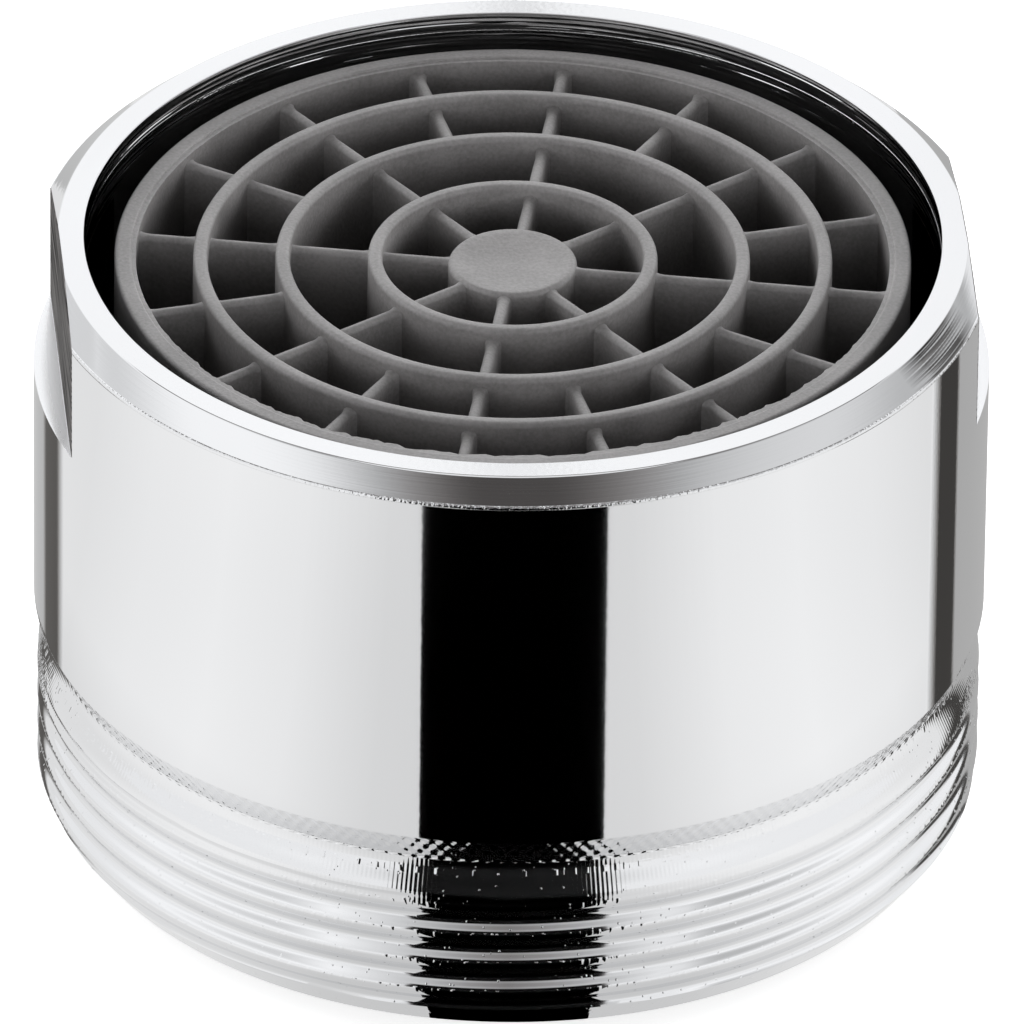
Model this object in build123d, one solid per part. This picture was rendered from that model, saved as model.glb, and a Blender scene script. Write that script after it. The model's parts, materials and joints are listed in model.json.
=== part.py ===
"""Tap aerator, standing on its inlet end with the outlet grille up.

Millimetres. The axis is Z, the origin lies in the face of the sealing washer, and the wrench flats face +X and -X.
A turned sleeve screws into the spout. Inside it hangs a plastic cartridge: a strainer, a flanged head with the jets,
two mixing grids and a cup that ends in the outlet grille, which straightens the stream. Air comes up the gap between
the cup and the sleeve, and in through notches in the cup's edge. The thread's size sets the radii, and the pieces of
the cartridge, stacked on the washer, set the heights.
"""

import os

from build123d import *

# Sleeve, outside
thread_diameter = 28.0
thread_length = 4.6
lead_in_height = 1.05
lead_in_depth = 0.8
relief_depth = 0.4
relief_runout = 1.33
relief_slope_height = 0.92
band_step = 0.1
outlet_chamfer_height = 0.64
outlet_chamfer_depth = 0.74
flat_depth = 0.77
flat_height = 4.3

# Sleeve, inside
thread_wall = 1.4
band_wall = 1.48
seat_thickness = 0.8

# Sealing washer
washer_thickness = 2.1
washer_width = 3.2
washer_proud = 0.2

# Strainer
strainer_thickness = 0.8
strainer_edge = 1.6
strainer_slot_width = 0.5
strainer_bar_width = 0.55

# Jet head, with its flange
flange_thickness = 1.2
pocket_wall = 0.64
jet_plate_thickness = 1.2
jet_edge = 1.6
jet_length = 1.1
jet_width = 0.7
jet_row_gap = 1.4
jets_in_outer_row = 14
jets_in_inner_row = 7

# Mixing grids, under the chamber where the jets draw in air
chamber_height = 4.3
grid_thickness = 2.0
grid_edge = 1.2
grid_slot_width = 1.5
grid_bar_width = 0.7

# Outlet grille, with its ring channels counted from the wall inwards
air_gap = 0.9
notch_count = 4
notch_width = 9.0
notch_height = 3.2
grille_wall = 0.63
grille_recess = 0.69
straightener_depth = 6.16
channel_widths = (1.69, 2.0, 2.3)
ring_width = 0.42
spoke_width = 0.36
spoke_drop = 0.32
hub_radius = 1.9
hub_drop = 0.23
inner_spokes = 8
outer_spokes = 16
spoke_turn = -12.5

# Clearances, each on a radius
washer_clearance = 0.1
seat_clearance = 0.13
pocket_clearance = 0.1
snap_clearance = 0.05

# Heights along the axis, from the washer's face
flange_base = washer_thickness
seat_base = flange_base + flange_thickness
seat_top = seat_base + seat_thickness
jet_plate_base = flange_base + strainer_thickness
jet_plate_top = jet_plate_base + jet_plate_thickness
grid_base = jet_plate_top + chamber_height
straightener_base = grid_base + 2 * grid_thickness
grille_top = straightener_base + straightener_depth
sleeve_base = washer_proud
sleeve_top = grille_top + grille_recess
thread_top = sleeve_base + thread_length
relief_top = thread_top + relief_runout
band_base = relief_top + relief_slope_height

# Radii that several pieces share
thread_radius = thread_diameter / 2
band_radius = thread_radius + band_step
inlet_radius = thread_radius - thread_wall
outlet_radius = band_radius - band_wall
flange_radius = inlet_radius - washer_clearance
cartridge_radius = outlet_radius - air_gap
grille_inner_radius = cartridge_radius - grille_wall
spigot_radius = grille_inner_radius - snap_clearance
pocket_radius = spigot_radius - pocket_wall
strainer_radius = pocket_radius - pocket_clearance

# How primitives stand on their reference point
on_base = (Align.CENTER, Align.CENTER, Align.MIN)
from_inside = (Align.MIN, Align.CENTER, Align.MIN)


def turned(section):
    """Solid of revolution about Z of a half section given as (radius, height) corners."""
    return revolve(Plane.XZ * Polygon(*section, align=None), Axis.Z)


def housing_sleeve():
    """Turned sleeve: threaded inlet end, relief, plain band with two flats, and a seat for the cartridge."""
    relief_radius = thread_radius - relief_depth
    seat_radius = cartridge_radius + seat_clearance
    sleeve = turned([
        (inlet_radius, sleeve_base),
        (thread_radius - lead_in_depth, sleeve_base),
        (thread_radius, sleeve_base + lead_in_height),
        (thread_radius, thread_top),
        (relief_radius, relief_top),
        (band_radius, band_base),
        (band_radius, sleeve_top - outlet_chamfer_height),
        (band_radius - outlet_chamfer_depth, sleeve_top),
        (outlet_radius, sleeve_top),
        (outlet_radius, seat_top),
        (seat_radius, seat_top),
        (seat_radius, seat_base),
        (inlet_radius, seat_base),
    ])
    flat_place = Pos(band_radius - flat_depth, 0, sleeve_top - flat_height)
    cutter = flat_place * Box(band_radius, 2 * band_radius, flat_height, align=from_inside)
    return sleeve - [cutter, Rot(0, 0, 180) * cutter]


def sealing_washer():
    """Flat rubber ring that lies on the cartridge flange and stands a little proud of the sleeve."""
    disc = Cylinder(flange_radius, washer_thickness, align=on_base)
    return disc - Cylinder(flange_radius - washer_width, washer_thickness, align=on_base)


def slotted_disc(radius, thickness, edge, slot_width, bar_width):
    """Round plate on z = 0 that is cut into parallel bars inside a closed edge."""
    disc = Cylinder(radius, thickness, align=on_base)
    open_radius = radius - edge
    pitch = slot_width + bar_width
    slots_each_side = int((open_radius - slot_width) / pitch)
    slots = []
    for index in range(-slots_each_side, slots_each_side + 1):
        far_side = abs(index) * pitch + slot_width / 2
        half_chord = (open_radius ** 2 - far_side ** 2) ** 0.5
        slot = Box(2 * half_chord, slot_width, thickness, align=on_base)
        slots.append(Pos(0, index * pitch, 0) * slot)
    return disc - slots


def strainer_sieve():
    """Fine slotted sieve in the head's pocket, with a rim that the washer clamps down."""
    sieve = slotted_disc(strainer_radius, strainer_thickness, strainer_edge, strainer_slot_width, strainer_bar_width)
    return Pos(0, 0, flange_base) * sieve


def jet_head():
    """Moulded head: a flange for the sleeve's seat, a pocket for the strainer, and a plate with two rows of jets."""
    head = turned([
        (0, jet_plate_base),
        (pocket_radius, jet_plate_base),
        (pocket_radius, flange_base),
        (flange_radius, flange_base),
        (flange_radius, seat_base),
        (spigot_radius, seat_base),
        (spigot_radius, jet_plate_top),
        (0, jet_plate_top),
    ])
    jet = Pos(0, 0, jet_plate_base) * Box(jet_length, jet_width, jet_plate_thickness, align=from_inside)
    outer_row = pocket_radius - jet_edge - jet_length
    inner_row = outer_row - jet_row_gap - jet_length
    jets = PolarLocations(outer_row, jets_in_outer_row) * jet
    jets += PolarLocations(inner_row, jets_in_inner_row) * jet
    return head - jets


def mixing_grid(base, turn):
    """Plate of parallel bars across the jets, at a height and turned about Z."""
    grid = slotted_disc(spigot_radius, grid_thickness, grid_edge, grid_slot_width, grid_bar_width)
    return Pos(0, 0, base) * Rot(0, 0, turn) * grid


def straightener_ring(inner_radius, outer_radius, base):
    """Upright ring of the grille, from a height up to the grille's top."""
    section = [(inner_radius, base), (outer_radius, base), (outer_radius, grille_top), (inner_radius, grille_top)]
    return turned(section)


def outlet_grille():
    """Moulded cup with air notches in its edge, ending in rings and a hub that thin spokes tie together."""
    wall = straightener_ring(grille_inner_radius, cartridge_radius, seat_base)
    notch = Pos(0, 0, seat_base) * Box(2 * cartridge_radius, notch_width, notch_height, align=from_inside)
    wall -= PolarLocations(0, notch_count) * notch
    hub = Pos(0, 0, straightener_base) * Cylinder(hub_radius, straightener_depth - hub_drop, align=on_base)
    pieces = [hub]
    ring_radii = []
    channel_edge = grille_inner_radius
    for width in channel_widths:
        outer_radius = channel_edge - width
        channel_edge = outer_radius - ring_width
        ring_radii.append(outer_radius - ring_width / 2)
        pieces.append(straightener_ring(channel_edge, outer_radius, straightener_base))
    middle_ring = ring_radii[1]
    mid_wall = cartridge_radius - grille_wall / 2
    for count, start, end in ((inner_spokes, 0, middle_ring), (outer_spokes, middle_ring, mid_wall)):
        spoke = Box(end - start, spoke_width, straightener_depth - spoke_drop, align=from_inside)
        placed = Pos(start, 0, straightener_base) * spoke
        pieces += PolarLocations(0, count, start_angle=spoke_turn) * placed
    return wall + pieces


nodes = {
    "housing_sleeve": housing_sleeve(),
    "sealing_washer": sealing_washer(),
    "strainer_sieve": strainer_sieve(),
    "jet_head": jet_head(),
    "mixing_grid_upper": mixing_grid(grid_base, 0),
    "mixing_grid_lower": mixing_grid(grid_base + grid_thickness, 90),
    "outlet_grille": outlet_grille(),
}

os.makedirs("parts", exist_ok=True)
for name, solid in nodes.items():
    export_step(solid, f"parts/{name}.step")
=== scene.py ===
"""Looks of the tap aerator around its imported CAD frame.

Metres, in the CAD frame: the axis is Z, the outlet grille is up and the wrench flats face +X and -X.
Sizes in millimetres are written as a number times MM. The chromed sleeve, the grille, the washer and the
strainer are drawn again here with their thread, rounded edges, tool marks and moulding flash. The pieces
deep inside keep their solids.
"""

import json
import math

import bpy
import numpy as np
from mathutils import Matrix, Vector


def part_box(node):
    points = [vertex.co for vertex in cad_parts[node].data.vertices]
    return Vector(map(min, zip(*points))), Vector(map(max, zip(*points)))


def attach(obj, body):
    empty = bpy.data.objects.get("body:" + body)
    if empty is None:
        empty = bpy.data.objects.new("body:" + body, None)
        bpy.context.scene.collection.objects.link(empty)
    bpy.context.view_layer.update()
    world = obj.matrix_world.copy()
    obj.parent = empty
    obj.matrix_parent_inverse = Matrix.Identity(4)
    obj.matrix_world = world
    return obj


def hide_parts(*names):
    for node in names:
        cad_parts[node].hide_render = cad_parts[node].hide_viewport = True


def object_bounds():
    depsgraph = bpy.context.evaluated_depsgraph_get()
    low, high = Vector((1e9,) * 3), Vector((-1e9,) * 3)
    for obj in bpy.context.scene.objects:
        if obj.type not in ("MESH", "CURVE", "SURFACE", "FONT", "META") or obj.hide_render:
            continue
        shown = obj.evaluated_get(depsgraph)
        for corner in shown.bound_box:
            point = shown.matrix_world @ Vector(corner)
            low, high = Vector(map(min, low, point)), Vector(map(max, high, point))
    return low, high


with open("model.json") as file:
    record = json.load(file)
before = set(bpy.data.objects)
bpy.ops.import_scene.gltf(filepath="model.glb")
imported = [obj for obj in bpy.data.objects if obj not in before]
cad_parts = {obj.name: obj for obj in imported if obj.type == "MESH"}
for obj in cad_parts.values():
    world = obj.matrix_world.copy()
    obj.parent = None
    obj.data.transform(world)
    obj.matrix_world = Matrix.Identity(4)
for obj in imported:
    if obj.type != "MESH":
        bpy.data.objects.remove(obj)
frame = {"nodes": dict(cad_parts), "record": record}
cad_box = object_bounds()

MM = 0.001

# Where the CAD pieces are
sleeve_low, sleeve_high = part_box("housing_sleeve")
grille_low, grille_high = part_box("outlet_grille")
washer_low, washer_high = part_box("sealing_washer")
strainer_low, strainer_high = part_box("strainer_sieve")
head_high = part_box("jet_head")[1]
lower_grid_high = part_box("mixing_grid_lower")[1]
mounts = {mount["name"]: mount for mount in frame["record"]["mounts"]}

# Sleeve, outside
band_radius = sleeve_high.y
sleeve_base = sleeve_low.z
sleeve_top = sleeve_high.z
thread_radius = mounts["spout_thread"]["dims"]["r_mm"] * MM
flat_distance = mounts["wrench_flat_right"]["pos_m"][0]
lead_in_top = sleeve_base + 1.05 * MM
lead_in_radius = thread_radius - 0.8 * MM
thread_top = sleeve_base + 4.6 * MM
relief_radius = thread_radius - 0.4 * MM
relief_top = thread_top + 1.33 * MM
band_base = relief_top + 0.92 * MM
ledge_height = sleeve_top - 4.3 * MM
chamfer_base = sleeve_top - 0.64 * MM
rim_radius = band_radius - 0.74 * MM
thread_pitch = 1.0 * MM
thread_depth = 0.23 * MM
thread_start = sleeve_base + 0.2 * MM
thread_end = thread_top + 0.5 * MM
front_crest = sleeve_base + 4.52 * MM

# Sleeve, inside
outlet_radius = band_radius - 1.48 * MM
inlet_radius = thread_radius - 1.4 * MM
seat_base = grille_low.z
seat_top = head_high.z
seat_radius = grille_high.x + 0.13 * MM
feed_mark_pitch = 0.16 * MM
feed_mark_depth = 0.02 * MM
feed_mark_reach = 1.5 * MM

# Grille
cup_radius = grille_high.x
cup_inner_radius = cup_radius - 0.63 * MM
grille_base = lower_grid_high.z
grille_top = grille_high.z
ring_width = 0.42 * MM
ring_radii = (9.19 * MM, 6.77 * MM, 4.05 * MM)
hub_radius = 1.9 * MM
hub_top = grille_top - 0.23 * MM
spoke_top = grille_top - 0.32 * MM
spoke_width = 0.34 * MM
inner_spokes = 8
outer_spokes = 16
spoke_turn = math.radians(-12.5)
notch_count = 4
notch_half_width = 4.5 * MM
notch_top = grille_low.z + 3.2 * MM

# Washer and strainer
washer_width = 3.2 * MM
strainer_edge = 1.6 * MM
strainer_slot = 0.5 * MM
strainer_bar = 0.55 * MM

# Corners of the sleeve's half section: radius, height, and how far from the corner its rounding starts
sleeve_corners = {
    "inlet foot": (inlet_radius, sleeve_base, 0.08 * MM),
    "lead-in foot": (lead_in_radius, sleeve_base, 0.08 * MM),
    "lead-in top": (thread_radius, lead_in_top, 0.08 * MM),
    "thread top": (thread_radius, thread_top, 0.08 * MM),
    "relief": (relief_radius, relief_top, 0.02 * MM),
    "band base": (band_radius, band_base, 0.03 * MM),
    "ledge foot": (band_radius, ledge_height - 0.01 * MM, 0.002 * MM),
    "ledge": (band_radius, ledge_height, 0.002 * MM),
    "chamfer base": (band_radius, chamfer_base, 0.04 * MM),
    "rim": (rim_radius, sleeve_top, 0.04 * MM),
    "mouth": (outlet_radius, sleeve_top, 0.04 * MM),
    "mouth end": (outlet_radius, sleeve_top - feed_mark_reach, 0.08 * MM),
    "bore end": (outlet_radius, seat_top, 0.08 * MM),
    "seat edge": (seat_radius, seat_top, 0.08 * MM),
    "seat foot": (seat_radius, seat_base, 0.08 * MM),
    "inlet end": (inlet_radius, seat_base, 0.08 * MM),
}
corner_at = {name: index for index, name in enumerate(sleeve_corners)}

# Camera, from the photograph's circles
camera_lens = 832.7
camera_distance = 701.3 * MM
camera_turn = math.radians(-5.1)
camera_side = camera_turn - math.pi / 2
camera_elevation = math.radians(32.30)
camera_roll = math.radians(0.663)
aim_height = 9.79 * MM
aim_right = 0.063 * MM
aim_up = -0.168 * MM


def rounded(corners, setback, steps=4):
    """Closed outline whose corners are quadratic curves, each from a setback before the corner to one
    after it. One more point on each straight run, close to the curve, keeps the run's shading flat."""
    corner = np.asarray(corners, float)
    setback = np.broadcast_to(setback, len(corner))[:, None]
    to_last = np.roll(corner, 1, axis=0) - corner
    to_next = np.roll(corner, -1, axis=0) - corner
    before = setback * to_last / np.linalg.norm(to_last, axis=1)[:, None]
    after = setback * to_next / np.linalg.norm(to_next, axis=1)[:, None]
    t = np.linspace(0, 1, steps + 1)[None, :, None]
    curve = corner[:, None] + (1 - t) ** 2 * before[:, None] + t ** 2 * after[:, None]
    first = corner + 1.3 * before
    last = corner + 1.3 * after
    return np.concatenate([first[:, None], curve, last[:, None]], axis=1).reshape(-1, 2)


def divided(outline, longest):
    """Same closed outline, with each straight run split into equal parts that are no longer than its
    limit, and the place of each new point counted in points of the old outline."""
    run = np.roll(outline, -1, axis=0) - outline
    parts = np.maximum(1, np.ceil(np.linalg.norm(run, axis=1) / longest)).astype(int)
    which = np.repeat(np.arange(len(outline)), parts)
    share = (np.arange(len(which)) - (np.cumsum(parts) - parts)[which]) / parts[which]
    return outline[which] + run[which] * share[:, None], which + share


def grid_quads(rows, columns, join_rows=True, seam_rows=None):
    """Quads of a grid of points whose columns close round. The last row may join the first, and where
    the rows climb as they go round, seam_rows tells which row of the first column each row meets."""
    index = np.arange(rows * columns).reshape(rows, columns)
    met = index[:, :1] if seam_rows is None else index[seam_rows, :1]
    index = np.concatenate([index, met], axis=1)
    if join_rows:
        index = np.concatenate([index, index[:1]])
    corners = [index[:-1, :-1], index[:-1, 1:], index[1:, 1:], index[1:, :-1]]
    return np.stack(corners, axis=-1).reshape(-1, 4)


def welded(points, quads):
    """Same surface with points that coincide made one. Quads that this folds become triangles or go."""
    nearest = np.round(points / (1e-5 * MM)).astype(np.int64)
    _, first, same = np.unique(nearest, axis=0, return_index=True, return_inverse=True)
    quads = same.reshape(-1)[quads]
    folded = (quads == np.roll(quads, 1, axis=1)).any(axis=1)
    halves = np.concatenate([quads[folded][:, [0, 1, 2]], quads[folded][:, [0, 2, 3]]])
    whole = (halves != np.roll(halves, 1, axis=1)).all(axis=1)
    return points[first], [quads[~folded], halves[whole]]


def turned_grid(radius, height, angle):
    """Points (radius cos angle, radius sin angle, height) of a surface round the axis, one row per
    outline point."""
    radius, height, angle = np.broadcast_arrays(radius, height, angle)
    return np.stack([radius * np.cos(angle), radius * np.sin(angle), height], axis=-1)


def turned_shell(outline, columns):
    """Ring swept by a closed outline of (radius, height) round the axis."""
    angle = np.linspace(0, 2 * np.pi, columns, endpoint=False)
    points = turned_grid(outline[:, :1], outline[:, 1:], angle[None, :])
    return points.reshape(-1, 3), [grid_quads(len(outline), columns)]


def turned_plug(outline, columns):
    """Solid swept by an open outline that starts and ends on the axis, where fans of triangles close
    it."""
    angle = np.linspace(0, 2 * np.pi, columns, endpoint=False)
    rings = turned_grid(outline[1:-1, :1], outline[1:-1, 1:], angle[None, :]).reshape(-1, 3)
    poles = np.array([[0, 0, outline[0, 1]], [0, 0, outline[-1, 1]]])
    rows = len(outline) - 2
    column = np.arange(columns)
    next_column = (column + 1) % columns
    first_pole = np.full(columns, rows * columns)
    last_row = (rows - 1) * columns
    low_fan = np.stack([first_pole, next_column, column], axis=1)
    high_fan = np.stack([last_row + column, last_row + next_column, first_pole + 1], axis=1)
    return np.concatenate([rings, poles]), [grid_quads(rows, columns, join_rows=False), low_fan, high_fan]


def carried_bars(sections):
    """Bars from an array of sections (bar, station, outline point, xyz), with a flat face at both ends
    of each bar."""
    bars, stations, around, _ = sections.shape
    first = (np.arange(bars) * stations * around)[:, None]
    quads = first[:, :, None] + grid_quads(stations, around, join_rows=False)[None]
    ring = np.arange(around)[None, :]
    start_face = first + ring[:, ::-1]
    end_face = first + (stations - 1) * around + ring
    return sections.reshape(-1, 3), [quads.reshape(-1, 4), start_face, end_face]


def ripple(angle, turns, phase):
    """Even mix of three sine waves round the axis, between -1 and 1, whose whole turns close without a
    seam."""
    waves = [np.sin(angle * turn + phase * (index + 1)) for index, turn in enumerate(turns)]
    return sum(waves) / len(waves)


def mesh_piece(name, shells, material, node, sharp_angle=40):
    """One object of closed shells, smooth except at edges sharper than the angle, that stands for a CAD
    node."""
    points = np.concatenate([shell[0] for shell in shells])
    starts = np.cumsum([0] + [len(shell[0]) for shell in shells[:-1]])
    faces = [start + face for start, shell in zip(starts, shells) for face in shell[1]]
    corners = np.concatenate([face.ravel() for face in faces])
    totals = np.concatenate([np.full(len(face), face.shape[1]) for face in faces])
    mesh = bpy.data.meshes.new(name)
    mesh.vertices.add(len(points))
    mesh.vertices.foreach_set("co", points.ravel())
    mesh.loops.add(len(corners))
    mesh.loops.foreach_set("vertex_index", corners)
    mesh.polygons.add(len(totals))
    mesh.polygons.foreach_set("loop_start", np.cumsum(totals) - totals)
    mesh.polygons.foreach_set("loop_total", totals)
    mesh.update(calc_edges=True)
    mesh.validate()
    mesh.polygons.foreach_set("use_smooth", np.ones(len(mesh.polygons), bool))
    mesh.set_sharp_from_angle(angle=math.radians(sharp_angle))
    mesh.materials.append(material)
    piece = bpy.data.objects.new(name, mesh)
    bpy.context.scene.collection.objects.link(piece)
    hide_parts(node)
    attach(piece, "root")


def sleeve_angles(corner_angle, flat_columns=20, side_columns=168):
    """Angles of each row's columns: even steps across each flat, between plus and minus its corner
    angle, and even steps along the round sides between the flats, so that the edges of a flat always
    fall on a column."""
    flat_step = np.arange(flat_columns) / flat_columns
    side_step = np.arange(side_columns) / side_columns
    corner = corner_angle[:, None]
    flat = -corner + 2 * corner * flat_step
    side = corner + (np.pi - 2 * corner) * side_step
    return np.concatenate([flat, side, flat + np.pi, side + np.pi], axis=1)


def thread_rows(first_angle, pitch_rows=18):
    """Heights of the thread's rows at the first column, the depth of each row, and the rows in one
    pitch. The depth is a raised cosine of the height, as the plating rounds it: nothing on a crest and
    all of it half a pitch away. The crest is at its given height on the camera's side."""
    rise = np.linspace(-0.5, 0.5, pitch_rows, endpoint=False)
    depth = thread_depth * (1 - np.cos(2 * np.pi * rise)) / 2
    crest = front_crest - thread_pitch * ((camera_side - first_angle) % (2 * np.pi)) / (2 * np.pi)
    lowest = math.floor((thread_start - crest) / thread_pitch) - 1
    highest = math.ceil((thread_end - crest) / thread_pitch) + 1
    crests = np.arange(lowest, highest)
    height = crest + thread_pitch * (crests[:, None] + rise[None, :]).ravel()
    return height, np.tile(depth, len(crests)), pitch_rows


def thread_band(angle, outside_radius, outside_height):
    """Rows of the thread, which climb one pitch to the right in one turn between a level start and a
    level end. The radius is the crest's less the depth, and never more than the sleeve's plain outside.
    The depth fades at the top."""
    fade_start = thread_top - 0.1 * MM
    fade_height = 0.35 * MM
    first_height, depth, pitch_rows = thread_rows(angle[0])
    climb = thread_pitch * (angle - angle[0]) / (2 * np.pi)
    height = np.clip(first_height[:, None] + climb[None, :], thread_start, thread_end)
    fade = np.clip((height - fade_start) / fade_height, 0, 1)
    crest = thread_radius - depth[:, None] * (1 - fade)
    radius = np.minimum(crest, np.interp(height, outside_height, outside_radius))
    rows = len(first_height)
    meets = np.minimum(np.arange(rows) + pitch_rows, rows - 1)
    return radius, height, meets


def feed_marks(angle, height):
    """Depth of the scallops that the boring tool left: the parabola of its round nose, repeated once per
    feed on a slow spiral, stronger in some turns and places than in others, and fading below the reach
    of the mouth."""
    fade_height = 0.4 * MM
    turn = (height - sleeve_top) / feed_mark_pitch - angle / (2 * np.pi)
    mark = np.round(turn)
    from_cusp = 2 * np.abs(turn - mark)
    scallop = 1 - (1 - from_cusp) ** 2
    strength = np.clip(0.55 + 0.6 * ripple(angle + 0.9 * mark, (2, 5, 11), 1.3), 0.15, 1)
    reach = np.clip((height - sleeve_top + feed_mark_reach) / fade_height, 0, 1)
    return feed_mark_depth * scallop * strength * reach


def sleeve_outline():
    """Closed outline of the sleeve's half section: the radius, the height and the place of each point,
    counted in corners. The shoulder from the thread to the relief is half a cosine wave. Runs are split
    finely where the shoulder and the feed marks need it."""
    corners = np.array(list(sleeve_corners.values()))
    outline = rounded(corners[:, :2], corners[:, 2])
    corner_points = len(outline) // len(corners)
    run_limit = np.full((len(corners), corner_points), 2.0 * MM)
    run_limit[corner_at["thread top"], -1] = 0.1 * MM
    run_limit[corner_at["mouth"], -1] = feed_mark_pitch / 6
    outline, station = divided(outline, run_limit.ravel())
    radius, height = outline.T
    corner = station / corner_points
    share = (height - thread_top) / (relief_top - thread_top)
    past_thread = (corner > corner_at["thread top"]) & (corner < corner_at["relief"] + 0.5)
    on_shoulder = past_thread & (share > 0) & (share < 1)
    shoulder = thread_radius - (thread_radius - relief_radius) * (1 - np.cos(np.pi * share)) / 2
    return np.where(on_shoulder, shoulder, radius), height, corner


def flat_edges(radius, corner, on_flats):
    """Angle of a flat's edge on each row. On the flats it is where the row's radius meets the flat, and at
    least the rim's. The mouth of the bore keeps the rim's angle, and all other rows the band's."""
    band_edge = math.acos(flat_distance / band_radius)
    rim_edge = math.acos(flat_distance / rim_radius)
    rim = corner_at["rim"]
    places = [rim, rim + 0.01, corner_at["mouth end"] + 0.8, corner_at["bore end"]]
    edge = np.interp(corner, places, [band_edge, rim_edge, rim_edge, band_edge])
    edge[on_flats] = np.maximum(rim_edge, np.arccos(flat_distance / radius[on_flats]))
    return edge


def sleeve_shell():
    """Outline of (radius, height) turned round the axis, with the thread's own rows in place of the
    outline's. The tool's feed marks are taken off the mouth of the bore, and a flat holds the radius at
    its distance over the cosine of the angle."""
    radius, height, corner = sleeve_outline()
    on_flats = (corner >= corner_at["ledge"]) & (corner < corner_at["mouth"]) & (radius > flat_distance)
    angle = sleeve_angles(flat_edges(radius, corner, on_flats))

    grid_height = np.repeat(height[:, None], angle.shape[1], axis=1)
    in_mouth = (corner > corner_at["mouth"] + 0.8) & (corner < corner_at["mouth end"] + 0.2)
    grid_radius = radius[:, None] + np.where(in_mouth[:, None], feed_marks(angle, grid_height), 0)
    flat_radius = flat_distance / np.maximum(np.abs(np.cos(angle)), 0.5)
    grid_radius = np.where(on_flats[:, None], np.minimum(grid_radius, flat_radius), grid_radius)

    outside = (corner >= corner_at["lead-in foot"]) & (corner <= corner_at["band base"])
    below = np.flatnonzero(outside & (height < thread_start))[-1] + 1
    above = np.flatnonzero(outside & (height > thread_end))[0]
    thread_radii, thread_heights, meets = thread_band(angle[0], radius[outside], height[outside])
    thread_angles = np.repeat(angle[:1], len(thread_radii), axis=0)
    points = np.concatenate([
        turned_grid(grid_radius[:below], grid_height[:below], angle[:below]),
        turned_grid(thread_radii, thread_heights, thread_angles),
        turned_grid(grid_radius[above:], grid_height[above:], angle[above:]),
    ])
    seam_rows = np.arange(len(points))
    seam_rows[below:below + len(meets)] = below + meets
    return welded(points.reshape(-1, 3), grid_quads(*points.shape[:2], seam_rows=seam_rows))


def cup_angles(across_columns=34, between_columns=70):
    """Angles of the cup's columns, with a close pair at each side of a notch, and which of them lie in a
    notch."""
    pair_gap = 0.002
    notch_step = 2 * np.pi / notch_count
    edge_angle = math.asin(notch_half_width / cup_radius)
    across = np.linspace(-edge_angle + pair_gap, edge_angle - pair_gap, across_columns)
    between = np.linspace(edge_angle, notch_step - edge_angle, between_columns)
    one_step = np.concatenate([across, between])
    angle = (one_step[None, :] + np.arange(notch_count)[:, None] * notch_step).ravel()[None, :]
    from_middle = np.abs((angle + notch_step / 2) % notch_step - notch_step / 2)
    return angle, from_middle < edge_angle - pair_gap / 2


def flash_width(angle):
    """Width of the moulding flash: a mean and two mixed ripples round the axis, on the camera's side
    only."""
    ragged = ripple(angle, (47, 83, 131), 0.7) + ripple(angle, (19, 29, 211), 2.1)
    near_front = np.clip(1.4 * np.cos(angle - camera_side) - 0.25, 0, 1)
    return (0.09 + 0.07 * ragged) * near_front * MM


def cup_shell():
    """Outline of the grille's wall turned round the axis, with a stepped and flashed inner edge at the
    top. The flash is a thin lip on the step. Below the notches' tops, rows in a notch are lifted to
    it."""
    step_radius = cup_inner_radius + 0.15 * MM
    step_height = grille_top - 0.07 * MM
    corners = [
        (cup_inner_radius, grille_low.z),
        (cup_radius, grille_low.z),
        (cup_radius, grille_top),
        (step_radius, grille_top),
        (step_radius - 0.02 * MM, step_height),
        (cup_inner_radius, step_height - 0.01 * MM),
        (cup_inner_radius, step_height - 0.06 * MM),
        (cup_inner_radius, step_height - 0.35 * MM),
    ]
    setback = np.array([0.1, 0.1, 0.12, 0.05, 0.015, 0.015, 0.015, 0.1]) * MM
    outline = rounded(corners, setback)
    corner_points = len(outline) // len(corners)
    outline, station = divided(outline, longest=1.6 * MM)
    radius, height = outline.T
    angle, in_notch = cup_angles()

    grid_height = np.repeat(height[:, None], angle.shape[1], axis=1)
    lifted = notch_top + 0.02 * (grid_height - grille_low.z)
    grid_height = np.where(in_notch & (grid_height < notch_top), lifted, grid_height)
    lip = np.interp(station / corner_points, [4.8, 5.2, 6.6, 7.0], [0, 1, 1, 0])
    grid_radius = radius[:, None] - lip[:, None] * flash_width(angle)
    points = turned_grid(grid_radius, grid_height, angle)
    return points.reshape(-1, 3), [grid_quads(*grid_radius.shape)]


def ring_shell(middle_radius):
    """Upright ring of the grille, a little thicker at its foot than at its rounded top."""
    half = ring_width / 2
    foot = half + 0.05 * MM
    corners = [
        (middle_radius - foot, grille_base),
        (middle_radius + foot, grille_base),
        (middle_radius + half, grille_top),
        (middle_radius - half, grille_top),
    ]
    setback = np.array([0.05, 0.05, 0.16, 0.14]) * MM
    outline, _ = divided(rounded(corners, setback), longest=1.6 * MM)
    return turned_shell(outline, columns=320)


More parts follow.
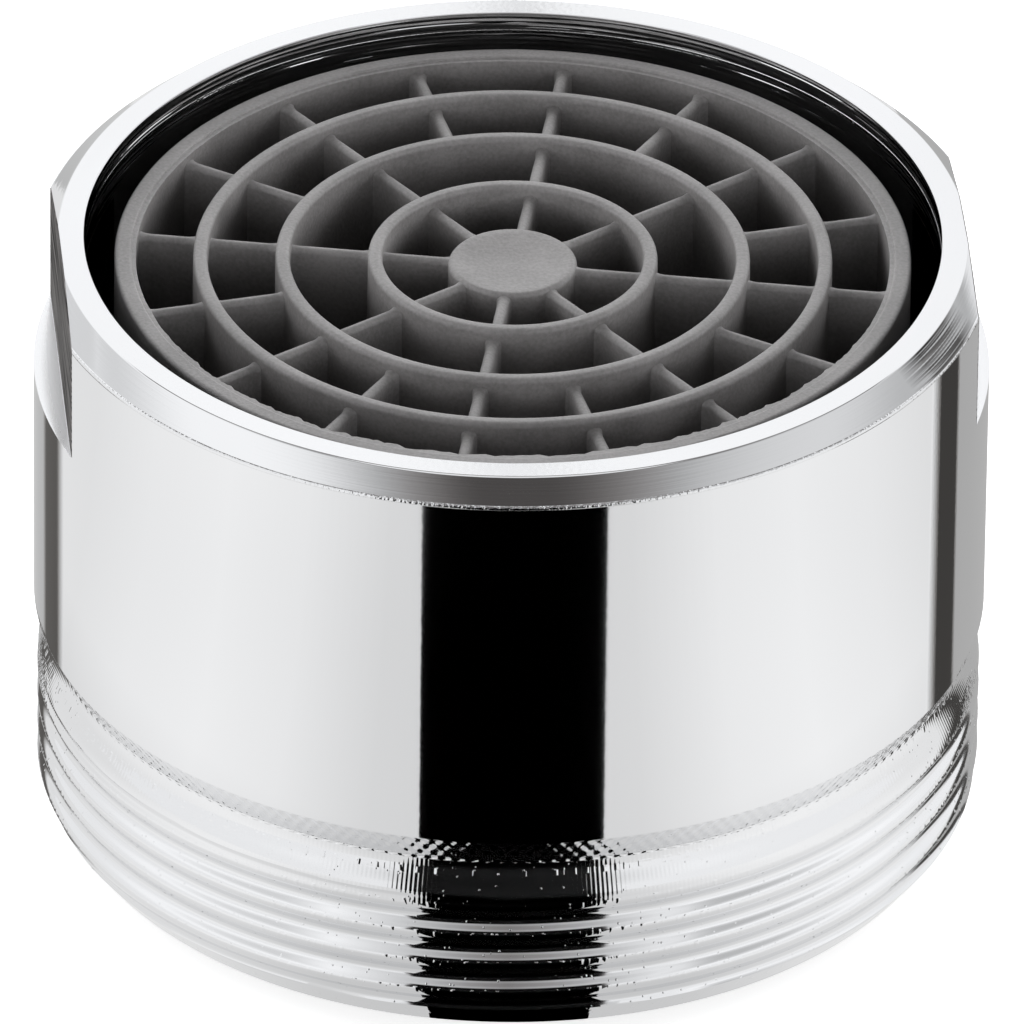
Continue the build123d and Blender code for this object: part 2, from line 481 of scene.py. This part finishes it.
def hub_shell():
    """Round stem whose top is dished: the height falls towards the axis with the square of the radius
    left."""
    round_over = 0.16 * MM
    dish_depth = 0.12 * MM
    foot_radius = hub_radius * 1.03
    flat_radius = hub_radius - round_over
    side = np.array([[0, grille_base], [foot_radius, grille_base], [hub_radius, hub_top - round_over]])
    arc = np.linspace(0, np.pi / 2, 7)[1:]
    edge = np.column_stack([
        hub_radius - round_over * (1 - np.cos(arc)),
        hub_top - round_over * (1 - np.sin(arc)),
    ])
    dish_radius = np.linspace(flat_radius, 0, 10)[1:]
    dish_height = hub_top - dish_depth * (1 - (dish_radius / flat_radius) ** 2)
    dish = np.column_stack([dish_radius, dish_height])
    return turned_plug(np.concatenate([side, edge, dish]), columns=96)


def spoke_shell(start, end, count):
    """Thin upright plates along radii. The half width is constant in the middle, grows with the square
    of the nearness to each end as a moulded fillet does, and grows with depth. The top is a half round,
    lifted a little at the ends."""
    half = spoke_width / 2
    depth = spoke_top - grille_base
    fillet_reach = 0.448 * MM
    fillet_width = 0.16 * MM
    fillet_rise = 0.06 * MM
    length = end - start
    along = np.concatenate([
        np.linspace(0, fillet_reach, 7),
        np.linspace(fillet_reach, length - fillet_reach, 4)[1:-1],
        np.linspace(length - fillet_reach, length, 7),
    ])
    nearness = np.clip(1 - np.minimum(along, length - along) / fillet_reach, 0, 1)[:, None]
    arc = np.linspace(0, np.pi, 7)
    across = np.concatenate([[1.35, 1.15], np.cos(arc), [-1.15, -1.35]])[None, :]
    drop = np.concatenate([[depth, depth / 2], half * (1 - np.sin(arc)), [depth / 2, depth]])[None, :]
    width = across * (half + fillet_width * nearness ** 2)
    height = spoke_top - drop + fillet_rise * nearness ** 2 * (drop < half)
    radial = (start + along)[:, None]
    angle = spoke_turn + np.arange(count)[:, None, None] * 2 * np.pi / count
    x = radial * np.cos(angle) - width * np.sin(angle)
    y = radial * np.sin(angle) + width * np.cos(angle)
    z = np.broadcast_to(height, x.shape)
    return carried_bars(np.stack([x, y, z], axis=-1))


def grille_shells():
    """Wall, rings, hub and the spokes that tie them, each spoke ending inside what it meets and clear of
    the next."""
    outer, middle, inner = ring_radii
    in_hub = hub_radius - 0.2 * MM
    in_wall = cup_inner_radius + 0.1 * MM
    apart = 0.06 * MM
    shells = [cup_shell(), hub_shell()]
    shells += [ring_shell(radius) for radius in ring_radii]
    shells += [
        spoke_shell(in_hub, inner, inner_spokes),
        spoke_shell(inner + apart, middle, inner_spokes),
        spoke_shell(middle + apart, outer, outer_spokes),
        spoke_shell(outer + apart, in_wall, outer_spokes),
    ]
    return shells


def rounded_ring(inner_radius, outer_radius, low, high, setback, steps, columns):
    """Ring of a rectangular section with rounded edges."""
    corners = [(inner_radius, low), (outer_radius, low), (outer_radius, high), (inner_radius, high)]
    outline, _ = divided(rounded(corners, setback, steps), longest=0.8 * MM)
    return turned_shell(outline, columns)


def washer_shell():
    """Flat ring with soft edges."""
    outer_radius = washer_high.x
    hole_radius = outer_radius - washer_width
    return rounded_ring(
        hole_radius, outer_radius, washer_low.z, washer_high.z, setback=0.16 * MM, steps=6, columns=256)


def strainer_shells():
    """Rim with rounded edges, and parallel bars across it, each as long as the chord that it lies on."""
    radius = strainer_high.x
    open_radius = radius - strainer_edge
    into_rim = 0.5 * MM
    setback = 0.1 * MM
    low, high = strainer_low.z, strainer_high.z
    rim = rounded_ring(open_radius, radius, low, high, setback, steps=4, columns=192)
    pitch = strainer_slot + strainer_bar
    each_side = int((open_radius - strainer_slot) / pitch)
    place = (np.arange(-each_side - 1, each_side + 1) + 0.5) * pitch
    half_chord = np.sqrt((open_radius + into_rim) ** 2 - place ** 2)
    half_bar = strainer_bar / 2
    section = rounded([(-half_bar, low), (half_bar, low), (half_bar, high), (-half_bar, high)], setback)
    ends = np.array([-1, 1])
    shape = (len(place), len(ends), len(section))
    x = np.broadcast_to(half_chord[:, None, None] * ends[None, :, None], shape)
    y = np.broadcast_to(place[:, None, None] + section[None, None, :, 0], shape)
    z = np.broadcast_to(section[None, None, :, 1], shape)
    return [rim, carried_bars(np.stack([x, y, z], axis=-1))]


class Recipe:
    """Shader nodes: each call adds one node, fed by numbers or by earlier nodes, and returns its
    output."""

    def __init__(self, tree):
        self.tree = tree

    def add(self, kind, **settings):
        node = self.tree.nodes.new("ShaderNode" + kind)
        for setting, value in settings.items():
            setattr(node, setting, value)
        return node

    def feed(self, socket, value):
        if isinstance(value, bpy.types.NodeSocket):
            self.tree.links.new(value, socket)
        else:
            socket.default_value = value

    def made(self, kind, values, output=0, **settings):
        """One node with its inputs fed in order."""
        node = self.add(kind, **settings)
        for socket, value in zip(node.inputs, values):
            self.feed(socket, value)
        return node.outputs[output]

    def math(self, operation, *values):
        return self.made("Math", values, operation=operation)

    def product(self, first, *others):
        for value in others:
            first = self.math("MULTIPLY", first, value)
        return first

    def total(self, first, *others):
        for value in others:
            first = self.math("ADD", first, value)
        return first

    def between(self, value, low, high, start=0.0, end=1.0, kind="LINEAR"):
        """Runs from start to end while the value runs from low to high."""
        return self.made("MapRange", (value, low, high, start, end), interpolation_type=kind)

    def smooth(self, value, low, high, start=0.0, end=1.0):
        """The same, with a soft start and end."""
        return self.between(value, low, high, start, end, "SMOOTHSTEP")

    def within(self, value, low, high, soft):
        """One between low and high, falling to zero outside them over a soft width."""
        enter = self.between(value, low - soft, low)
        leave = self.between(value, high, high + soft, 1.0, 0.0)
        return self.product(enter, leave)

    def joined(self, x, y, z):
        return self.made("CombineXYZ", (x, y, z))

    def noise(self, vector, scale, detail=1.0):
        node = self.add("TexNoise")
        self.feed(node.inputs["Vector"], vector)
        node.inputs["Scale"].default_value = scale
        node.inputs["Detail"].default_value = detail
        node.inputs["Roughness"].default_value = 0.55
        return node.outputs["Fac"]

    def specks(self, vector, scale, radius, least):
        """Small cones with their tops at one, on the cells whose random number is over the least one."""
        node = self.add("TexVoronoi")
        self.feed(node.inputs["Vector"], vector)
        node.inputs["Scale"].default_value = scale
        chosen = self.math("GREATER_THAN", node.outputs["Color"], least)
        return self.product(chosen, self.between(node.outputs["Distance"], 0.0, radius, 1.0, 0.0))

    def blend(self, share, first, second):
        """Colour that goes from the first to the second as the share goes from zero to one."""
        node = self.add("Mix", data_type="RGBA")
        self.feed(node.inputs["Factor"], share)
        self.feed(node.inputs[6], first)
        self.feed(node.inputs[7], second)
        return node.outputs[2]

    def tint(self, value, stops):
        """Colour that runs through the stops, each a position and a colour."""
        node = self.add("ValToRGB")
        ramp = node.color_ramp
        for index, (position, colour) in enumerate(stops):
            stop = ramp.elements[index] if index < 2 else ramp.elements.new(position)
            stop.position = position
            stop.color = (*colour, 1)
        self.feed(node.inputs[0], value)
        return node.outputs[0]


class Finish(Recipe):
    """Procedural material on Object coordinates."""

    def __init__(self, name):
        self.material = bpy.data.materials.new(name)
        self.material.use_nodes = True
        super().__init__(self.material.node_tree)
        self.tree.nodes.clear()
        self.place = self.add("TexCoord").outputs["Object"]

    def split(self):
        node = self.add("SeparateXYZ")
        self.feed(node.inputs[0], self.place)
        return node.outputs

    def coat(self, height, **inputs):
        """Shader of a surface with this height in millimetres on it."""
        bump = self.add("Bump")
        bump.inputs["Strength"].default_value = 1.0
        bump.inputs["Distance"].default_value = MM
        self.feed(bump.inputs["Height"], height)
        shader = self.add("BsdfPrincipled")
        self.feed(shader.inputs["Normal"], bump.outputs[0])
        for name, value in inputs.items():
            self.feed(shader.inputs[name.replace("_", " ")], value)
        return shader.outputs[0]

    def covered(self, surface):
        self.feed(self.add("OutputMaterial").inputs["Surface"], surface)
        return self.material


def chatter_marks(finish, angle, z):
    """Height that the tool's chatter left: staggered dots on the slope under the band, and fine upright
    lines on the slope over the thread and on the lead-in."""
    dots_round = 207.0
    dot_spacing = 0.29 * MM
    dot_height = 0.018
    lines_round = 640.0
    line_height = 0.0007
    under_band = finish.within(z, relief_top - 0.05 * MM, band_base - 0.02 * MM, 0.03 * MM)
    patchy = finish.between(finish.noise(finish.place, 900.0, 0.0), 0.35, 0.65, 0.7, 1.0)
    dots_along = finish.math("COSINE", finish.product(angle, dots_round))
    dots_up = finish.math("COSINE", finish.product(z, math.pi / dot_spacing))
    dots = finish.product(dots_along, dots_up, under_band, patchy, dot_height)
    over_thread = finish.within(z, thread_top - 0.05 * MM, relief_top, 0.05 * MM)
    on_lead_in = finish.between(z, lead_in_top - 0.35 * MM, lead_in_top - 0.3 * MM, 1.0, 0.0)
    upright = finish.math("SINE", finish.product(angle, lines_round))
    lines = finish.product(upright, finish.math("MAXIMUM", over_thread, on_lead_in), line_height)
    return finish.total(dots, lines)


def cut_marks(finish, angle, z):
    """Height of specks and of nicks along the thread's crests."""
    speck_height = 0.009
    nick_height = 0.009
    specks = finish.product(finish.specks(finish.place, 7500.0, 0.28, 0.74), speck_height)
    turns = finish.math("DIVIDE", finish.math("SUBTRACT", angle, camera_side), 2 * math.pi)
    pitches = finish.math("DIVIDE", finish.math("SUBTRACT", z, front_crest), thread_pitch)
    from_crest = finish.math("WRAP", finish.math("SUBTRACT", pitches, turns), 0.5, -0.5)
    on_crest = finish.within(from_crest, -0.06, 0.08, 0.03)
    ragged = finish.noise(finish.joined(finish.product(angle, 75.0), 0.0, pitches), 1.0, 0.0)
    nicks = finish.product(finish.between(ragged, 0.52, 0.75), on_crest, nick_height)
    return finish.total(specks, nicks)


def torn_plating(finish, x, y, z):
    """Height of the torn plating over the thread, in two places at the sides."""
    torn_height = 0.06

    def towards(degrees):
        """One near a direction that lies so many degrees to the right of the camera's side."""
        direction = camera_side + math.radians(degrees)
        along_x = finish.product(x, math.cos(direction))
        along_y = finish.product(y, math.sin(direction))
        return finish.between(finish.total(along_x, along_y), 0.987 * thread_radius, 0.997 * thread_radius)

    ragged = finish.noise(finish.place, 5000.0, 2.0)
    over_thread = finish.within(z, thread_top - 0.2 * MM, band_base - 0.1 * MM, 0.3 * MM)
    in_place = finish.math("MAXIMUM", towards(-84), towards(81))
    return finish.product(ragged, torn_height, over_thread, in_place)


def chamfer_marks(finish, angle, z):
    """Height of the chamfer's turning lines, which are coarser in one scuffed patch, and how far that
    patch is worn."""
    line_height = 0.0016
    patch_middle = camera_side + math.radians(66)
    on_chamfer = finish.within(z, chamfer_base + 0.03 * MM, sleeve_top - 0.03 * MM, 0.02 * MM)
    lines = finish.noise(finish.joined(finish.product(angle, 2.0), 0.0, finish.product(z, 22000.0)), 1.0)
    off_patch = finish.math("ABSOLUTE", finish.math("SUBTRACT", angle, patch_middle))
    patch = finish.between(off_patch, math.radians(4), math.radians(9), 1.0, 0.0)
    worn = finish.product(patch, on_chamfer, finish.between(lines, 0.38, 0.52))
    coarser = finish.between(patch, 0.0, 1.0, 1.0, 6.0)
    return finish.product(lines, on_chamfer, coarser, line_height), worn


def edge_burrs(finish, angle, z):
    """Height of the burrs along the chamfer's lower edge."""
    burr_height = 0.03
    at_edge = finish.within(z, chamfer_base - 0.05 * MM, chamfer_base + 0.03 * MM, 0.02 * MM)
    ragged = finish.noise(finish.joined(finish.product(angle, 130.0), 0.0, finish.product(z, 9000.0)), 1.0)
    return finish.product(ragged, at_edge, burr_height)


def rim_coat(finish, x, y, z, angle, peel, plated, roughness):
    """Coat of the outlet end: turning lines on the chamfer, burrs at its edge, and bare milled flats
    with ledges."""
    mill_height = 0.025
    across = finish.math("ABSOLUTE", x)
    at_flat = finish.between(across, flat_distance - 0.03 * MM, flat_distance - 0.02 * MM)
    on_flat = finish.product(at_flat, finish.between(z, ledge_height + 0.02 * MM, ledge_height + 0.05 * MM))
    at_ledge = finish.within(z, ledge_height - 0.004 * MM, ledge_height, 0.004 * MM)
    on_ledge = finish.product(at_flat, at_ledge)
    along_cut = finish.joined(0.0, finish.product(y, 180.0), finish.product(z, 7000.0))
    streaks = finish.noise(along_cut, 1.0, 2.0)
    milled = finish.product(streaks, on_flat, mill_height)
    turning, worn = chamfer_marks(finish, angle, z)
    bare = finish.tint(streaks, [(0.35, (0.05, 0.048, 0.046)), (0.68, (0.36, 0.35, 0.345))])
    return finish.coat(
        finish.total(peel, turning, edge_burrs(finish, angle, z), milled),
        Base_Color=finish.blend(finish.math("MAXIMUM", on_flat, worn), plated, bare),
        Metallic=1.0,
        Roughness=finish.total(roughness, finish.product(on_flat, 0.4), finish.product(on_ledge, 0.3)),
        Specular_Tint=finish.blend(on_flat, (1.0, 1.0, 1.0, 1.0), bare),
    )


def thread_coat(finish, x, y, z, angle, peel, plated, roughness):
    """Coat of the inlet end: a little duller than the band, with chatter, specks and nicks, and torn in
    two places."""
    below_band = finish.between(z, band_base, band_base + 0.02 * MM, 1.0, 0.0)
    cuts = finish.product(cut_marks(finish, angle, z), below_band)
    return finish.coat(
        finish.total(peel, chatter_marks(finish, angle, z), cuts, torn_plating(finish, x, y, z)),
        Base_Color=plated,
        Metallic=1.0,
        Roughness=finish.total(roughness, finish.product(below_band, 0.02)),
    )


def chrome():
    """Bright plating in three zones with sharp limits, so that each ray works out the marks of one zone
    only: the smooth band, the inlet end below it, and the outlet end above it with the flats."""
    finish = Finish("plated_chrome")
    x, y, z = finish.split()
    angle = finish.math("ARCTAN2", y, x)
    peel = finish.product(finish.noise(finish.place, 7000.0, 0.0), 0.0002)
    haze = finish.noise(finish.place, 90.0, 0.0)
    roughness = finish.between(haze, 0.35, 0.7, 0.03, 0.06)
    plated = finish.tint(haze, [(0.3, (0.84, 0.845, 0.855)), (0.7, (0.88, 0.885, 0.895))])
    shared = (finish, x, y, z, angle, peel, plated, roughness)
    band = finish.coat(peel, Base_Color=plated, Metallic=1.0, Roughness=roughness)

    is_inlet = finish.math("LESS_THAN", z, band_base + 0.25 * MM)
    over_edge = finish.math("GREATER_THAN", z, chamfer_base - 0.08 * MM)
    beyond_flat = finish.math("GREATER_THAN", finish.math("ABSOLUTE", x), flat_distance - 0.03 * MM)
    over_ledge = finish.math("GREATER_THAN", z, ledge_height - 0.01 * MM)
    is_outlet = finish.math("MAXIMUM", over_edge, finish.product(beyond_flat, over_ledge))
    lower_part = finish.made("MixShader", (is_inlet, band, thread_coat(*shared)))
    return finish.covered(finish.made("MixShader", (is_outlet, lower_part, rim_coat(*shared))))


def moulded_plastic(name, dark, light, grain_height, gloss=0.5):
    """Matt moulded plastic with a fine spark grain, shallow dents and a little cloudiness."""
    finish = Finish(name)
    cloud = finish.noise(finish.place, 500.0, 2.0)
    grain = finish.noise(finish.place, 9000.0)
    mixed = finish.total(finish.product(cloud, 0.5), finish.product(grain, 0.5))
    colour = finish.tint(mixed, [(0.35, dark), (0.65, light)])
    roughness = finish.between(cloud, 0.3, 0.7, 0.36, 0.52)
    height = finish.total(finish.product(grain, grain_height), finish.product(cloud, 6 * grain_height))
    surface = finish.coat(height, Base_Color=colour, Roughness=roughness, Specular_IOR_Level=gloss)
    return finish.covered(surface)


def glow(name):
    """Material of a studio card whose light is the level stored on its points, met only by rays that
    mirror it."""
    material = bpy.data.materials.new(name)
    material.cycles.emission_sampling = "NONE"
    material.use_nodes = True
    material.node_tree.nodes.clear()
    recipe = Recipe(material.node_tree)
    level = recipe.add("Attribute", attribute_name="level").outputs["Color"]
    light = recipe.made("Emission", (level,))
    recipe.feed(recipe.add("OutputMaterial").inputs["Surface"], light)
    return material


def stage_sheet(name, points, faces, material):
    """Flat studio surface that isn't part of the object."""
    mesh = bpy.data.meshes.new(name)
    mesh.from_pydata(points, [], faces)
    mesh.materials.append(material)
    sheet = bpy.data.objects.new(name, mesh)
    bpy.context.scene.collection.objects.link(sheet)
    return sheet


def floor_card(name, stops, height, near=-1.5 * MM, far=160 * MM):
    """Card on the floor where the band mirrors it. A ray that meets the band at an angle from the
    camera's side leaves at twice that angle, so the card's points are the band's foot at the angle plus
    a distance along twice the angle. The level runs evenly between the stops, each an angle in degrees
    and a level."""
    turned, levels = np.array(stops).T
    columns = 61
    degrees = np.linspace(turned[0], turned[-1], columns)
    angle = np.radians(degrees)[:, None]
    away = np.array([near, far])[None, :]
    side = band_radius * np.sin(angle) + away * np.sin(2 * angle)
    front = band_radius * np.cos(angle) + away * np.cos(2 * angle)
    x = side * math.cos(camera_turn) + front * math.sin(camera_turn)
    y = side * math.sin(camera_turn) - front * math.cos(camera_turn)
    points = np.stack([x, y, np.full_like(x, height)], axis=-1).reshape(-1, 3)
    faces = np.arange(columns - 1)[:, None] * 2 + np.array([[0, 1, 3, 2]])
    level = np.repeat(np.interp(degrees, turned, levels), 2)
    mirrored_sheet(name, points, faces, level)


def mirrored_sheet(name, points, faces, level):
    """Sheet that only polished surfaces show, with a level of light on each point that is a little warm
    where dim."""
    sheet = stage_sheet(name, points.tolist(), faces.tolist(), glow(name))
    warmth = 0.06 * np.clip(1 - 2 * level, 0, 1)
    colour = np.stack([level * (1 + warmth), level, level * (1 - warmth), np.ones_like(level)], axis=-1)
    stored = sheet.data.color_attributes.new("level", "FLOAT_COLOR", "POINT")
    stored.data.foreach_set("color", colour.ravel())
    sheet.visible_camera = False
    sheet.visible_diffuse = False
    sheet.visible_transmission = False
    sheet.visible_volume_scatter = False
    sheet.visible_shadow = False


def lit_floor(height):
    """White of the floor as the polished sleeve shows it: rings of points round the axis, whose level
    depends on how far round from the camera's side they are, and falls a little in the shade at the
    sleeve's foot."""
    from_front = np.array([0, 24, 42, 60, 80, 100, 180])
    levels = np.array([0.72, 0.77, 0.92, 0.98, 0.94, 0.85, 0.8])
    radius = np.array([0.1 * MM, 14 * MM, 20 * MM, 25 * MM, 3.0])
    shade = np.array([0.85, 0.85, 0.9, 1.0, 1.0])
    angle = np.linspace(0, 2 * np.pi, 180, endpoint=False)
    points = turned_grid(radius[:, None], height, angle[None, :] + camera_side).reshape(-1, 3)
    turned = np.degrees(np.minimum(angle, 2 * np.pi - angle))
    level = np.outer(shade, np.interp(turned, from_front, levels)).ravel()
    mirrored_sheet("lit_floor", points, grid_quads(len(radius), len(angle), join_rows=False), level)


def studio_floor():
    """Pale floor under the washer, clear from below so that the inlet end can be seen. Where the washer
    covers it, it looks dark through the jets but still lights the inlet end. The polished sleeve mirrors
    a lit sheet in its place, with dark gaps where the photograph's mirror images have them."""
    floor_glow = 0.72
    reach = 3.0
    floor_height = cad_box[0].z - 0.02 * MM
    material = bpy.data.materials.new("floor_white")
    material.use_nodes = True
    recipe = Recipe(material.node_tree)
    shader = recipe.tree.nodes["Principled BSDF"]
    shader.inputs["Base Color"].default_value = (0.93, 0.93, 0.93, 1)
    shader.inputs["Roughness"].default_value = 1.0
    shader.inputs["Specular IOR Level"].default_value = 0.0
    shader.inputs["Emission Color"].default_value = (1, 1, 1, 1)
    place = recipe.add("TexCoord").outputs["Object"]
    from_axis = recipe.made("VectorMath", (place,), output="Value", operation="LENGTH")
    uncovered = recipe.between(from_axis, washer_high.x - 1.0 * MM, washer_high.x)
    scattered = recipe.add("LightPath").outputs["Is Diffuse Ray"]
    lit = recipe.product(recipe.math("MAXIMUM", uncovered, scattered), floor_glow)
    recipe.feed(shader.inputs["Emission Strength"], lit)
    material.cycles.emission_sampling = "NONE"
    clear = recipe.add("BsdfTransparent").outputs[0]
    underside = recipe.add("NewGeometry").outputs["Backfacing"]
    surface = recipe.made("MixShader", (underside, shader.outputs[0], clear))
    recipe.feed(recipe.tree.nodes["Material Output"].inputs["Surface"], surface)
    signs = ((-1, -1), (1, -1), (1, 1), (-1, 1))
    corners = [(reach * along_x, reach * along_y, floor_height) for along_x, along_y in signs]
    floor = stage_sheet("floor", corners, [(0, 1, 2, 3)], material)
    floor.visible_glossy = False
    lit_floor(floor_height)
    card_height = floor_height + 0.01 * MM
    floor_card("front_gap", [(-10.45, 0), (11.77, 0)], card_height, far=2.9)
    floor_card("left_gap", [(-89, 0.62), (-78, 0.5), (-76.4, 0.12), (-71.4, 0.1), (-69, 0.9)], card_height)
    floor_card("right_gap", [(61.2, 0.9), (63.4, 0.05), (68.2, 0.05), (69, 0.44), (89, 0.46)], card_height)


def mirrored_lamps(recipe, side, front, up):
    """Lamps as polished surfaces see them, by how far a direction points to the side, to the front and
    up: white behind and at the sides, grey round the camera, a dark opening overhead that is wider to
    the right with a small lamp in its middle, a dark seam between the back and the top, and a dark slit
    low in front."""
    smooth = recipe.smooth
    left_of_opening = smooth(side, -0.06, -0.65, 0.0, 0.72)
    right_of_opening = smooth(side, 0.09, 0.75, 0.0, 0.52)
    overhead = recipe.total(left_of_opening, right_of_opening, 0.08)
    overhead = recipe.product(overhead, recipe.between(up, 0.84, 0.98, 1.3, 0.6))
    overhead = recipe.total(overhead, smooth(up, 0.93, 0.965, 0.0, 0.8))

    aside = recipe.math("DIVIDE", recipe.math("ABSOLUTE", side), recipe.math("MAXIMUM", front, 0.001))
    around = recipe.between(aside, 0.0, 0.96, 0.32, 1.07)
    near_floor = smooth(up, 0.35, 0.15)
    around = recipe.total(around, recipe.product(near_floor, recipe.math("SUBTRACT", 0.93, around)))
    dimmer = recipe.total(smooth(side, -0.55, -0.75, 0.0, -0.33), smooth(side, 0.5, 0.7, 0.0, -0.52))
    low_behind = recipe.product(smooth(up, 0.15, 0.25), smooth(front, -0.35, -0.5))
    dimmed = recipe.math("MAXIMUM", smooth(up, 0.3, 0.5), low_behind)
    around = recipe.total(around, recipe.product(dimmer, dimmed))

    upward = recipe.product(smooth(up, 0.5, 0.7), smooth(front, -0.6, -0.3))
    not_upward = recipe.math("SUBTRACT", 1.0, upward)
    lamps = recipe.total(recipe.product(around, not_upward), recipe.product(overhead, upward))
    slit = recipe.math("MAXIMUM", smooth(aside, 0.40, 0.44), smooth(up, 0.42, 0.5))
    seam = recipe.product(smooth(up, 0.68, 0.74), smooth(up, 0.9, 0.84), smooth(front, -0.35, -0.5), -0.8)
    return recipe.product(lamps, recipe.total(seam, 1.0), slit)


def soft_light(recipe, front, up):
    """Soft white light on all that isn't polished: low and stronger from behind, with a lamp behind at
    half height, a weak one above, and none from below."""
    smooth = recipe.smooth
    low = recipe.total(smooth(front, 0.4, -0.3, 0.0, 1.6), 2.6)
    low = recipe.product(low, smooth(up, 0.6, 0.15), 1.1)
    behind = recipe.product(smooth(front, 0.0, -0.4), smooth(up, 0.2, 0.35), smooth(up, 0.75, 0.55), 2.6)
    above = smooth(up, 0.85, 0.95, 0.0, 0.5)
    return recipe.product(recipe.total(low, behind, above, 0.01), smooth(up, -0.3, -0.1))


def studio_light():
    """World of soft light, in which polished surfaces see the lamps themselves."""
    world = bpy.data.worlds.new("studio")
    bpy.context.scene.world = world
    world.use_nodes = True
    recipe = Recipe(world.node_tree)
    place = recipe.add("TexCoord").outputs["Generated"]

    def along(*direction):
        return recipe.made("VectorMath", (place, direction), output="Value", operation="DOT_PRODUCT")

    side = along(math.cos(camera_turn), math.sin(camera_turn), 0)
    front = along(math.sin(camera_turn), -math.cos(camera_turn), 0)
    up = along(0, 0, 1)
    lamps = mirrored_lamps(recipe, side, front, up)
    soft = soft_light(recipe, front, up)
    mirrored = recipe.add("LightPath").outputs["Is Glossy Ray"]
    level = recipe.total(soft, recipe.product(mirrored, recipe.math("SUBTRACT", lamps, soft)))
    background = recipe.tree.nodes["Background"]
    recipe.feed(background.inputs["Strength"], level)
    warm_to_cool = recipe.tint(level, [(0.05, (1.0, 0.93, 0.91)), (0.45, (0.985, 0.99, 1.0))])
    recipe.feed(background.inputs["Color"], warm_to_cool)


def studio_camera():
    """Camera on the photograph's line of sight, rolled as the photograph is."""
    data = bpy.data.cameras.new("camera")
    data.sensor_width = 36.0
    data.lens = camera_lens
    data.clip_start = 0.01
    data.clip_end = 20.0
    camera = bpy.data.objects.new("camera", data)
    bpy.context.scene.collection.objects.link(camera)
    flat = math.cos(camera_elevation)
    back = Vector((math.sin(camera_turn) * flat, -math.cos(camera_turn) * flat, math.sin(camera_elevation)))
    level_right = Vector((math.cos(camera_turn), math.sin(camera_turn), 0))
    level_up = back.cross(level_right)
    right = level_right * math.cos(camera_roll) + level_up * math.sin(camera_roll)
    up = level_up * math.cos(camera_roll) - level_right * math.sin(camera_roll)
    aim = Vector((0, 0, aim_height)) + right * aim_right + up * aim_up
    place = Matrix((right, up, back)).transposed().to_4x4()
    place.translation = aim + back * camera_distance
    camera.matrix_world = place
    bpy.context.scene.camera = camera


sleeve_chrome = chrome()
grille_plastic = moulded_plastic("grille_plastic", (0.16, 0.154, 0.152), (0.24, 0.23, 0.228), 0.008, 1.0)
cartridge_plastic = moulded_plastic("cartridge_plastic", (0.20, 0.20, 0.205), (0.28, 0.28, 0.285), 0.008)
strainer_plastic = moulded_plastic("strainer_plastic", (0.62, 0.63, 0.63), (0.74, 0.75, 0.75), 0.006)
washer_rubber = moulded_plastic("washer_rubber", (0.015, 0.015, 0.016), (0.035, 0.035, 0.036), 0.012)

mesh_piece("sleeve", [sleeve_shell()], sleeve_chrome, "housing_sleeve", sharp_angle=18)
mesh_piece("grille", grille_shells(), grille_plastic, "outlet_grille")
mesh_piece("washer", [washer_shell()], washer_rubber, "sealing_washer")
mesh_piece("strainer", strainer_shells(), strainer_plastic, "strainer_sieve")
for node_name in ("jet_head", "mixing_grid_upper", "mixing_grid_lower"):
    frame["nodes"][node_name].data.materials[0] = cartridge_plastic

studio_floor()
studio_light()
studio_camera()
bpy.context.scene.view_settings.view_transform = "Standard"
bpy.context.scene.cycles.max_bounces = 3
bpy.context.scene.cycles.diffuse_bounces = 1
bpy.context.scene.cycles.caustics_reflective = False
